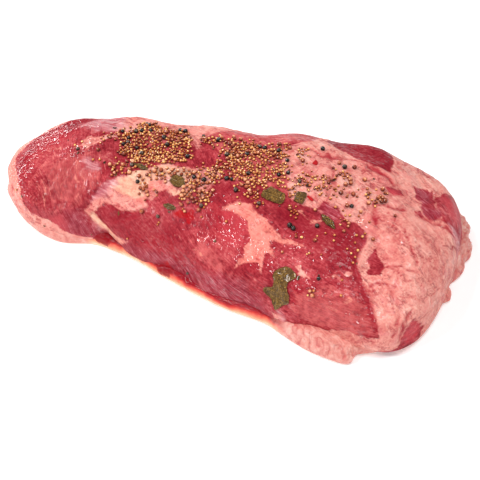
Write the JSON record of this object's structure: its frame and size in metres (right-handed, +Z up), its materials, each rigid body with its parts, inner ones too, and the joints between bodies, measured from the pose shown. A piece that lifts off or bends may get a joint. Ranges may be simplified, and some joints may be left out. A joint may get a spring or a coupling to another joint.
{
  "type": "raw corned beef round",
  "caption": "Long raw slab of brined beef on its fat cap, marbled with pale fat and strewn with pickling spices and torn bay leaf, to be cooked whole.",
  "frame": {"origin": "centre of the fat cap's underside, on the surface it rests on", "axes": "+X along the slab towards its wide end, +Y towards the far flank, +Z up through the spiced face"},
  "size_m": [0.4418, 0.2368, 0.0836],
  "materials": {
    "meat": "raw wet beef, rosy red with salmon and cream fat, spices pressed into its top",
    "bay_leaf": "soaked dull olive brown leaf"
  },
  "bodies": {
    "root": {"corned_beef": "meat", "bay_leaf_large": "bay_leaf", "bay_leaf_olive": "bay_leaf", "bay_leaf_dark": "bay_leaf", "bay_leaf_curled": "bay_leaf", "bay_leaf_small": "bay_leaf", "bay_leaf_sliver": "bay_leaf", "bay_leaf_tucked": "bay_leaf"}
  },
  "joints": []
}
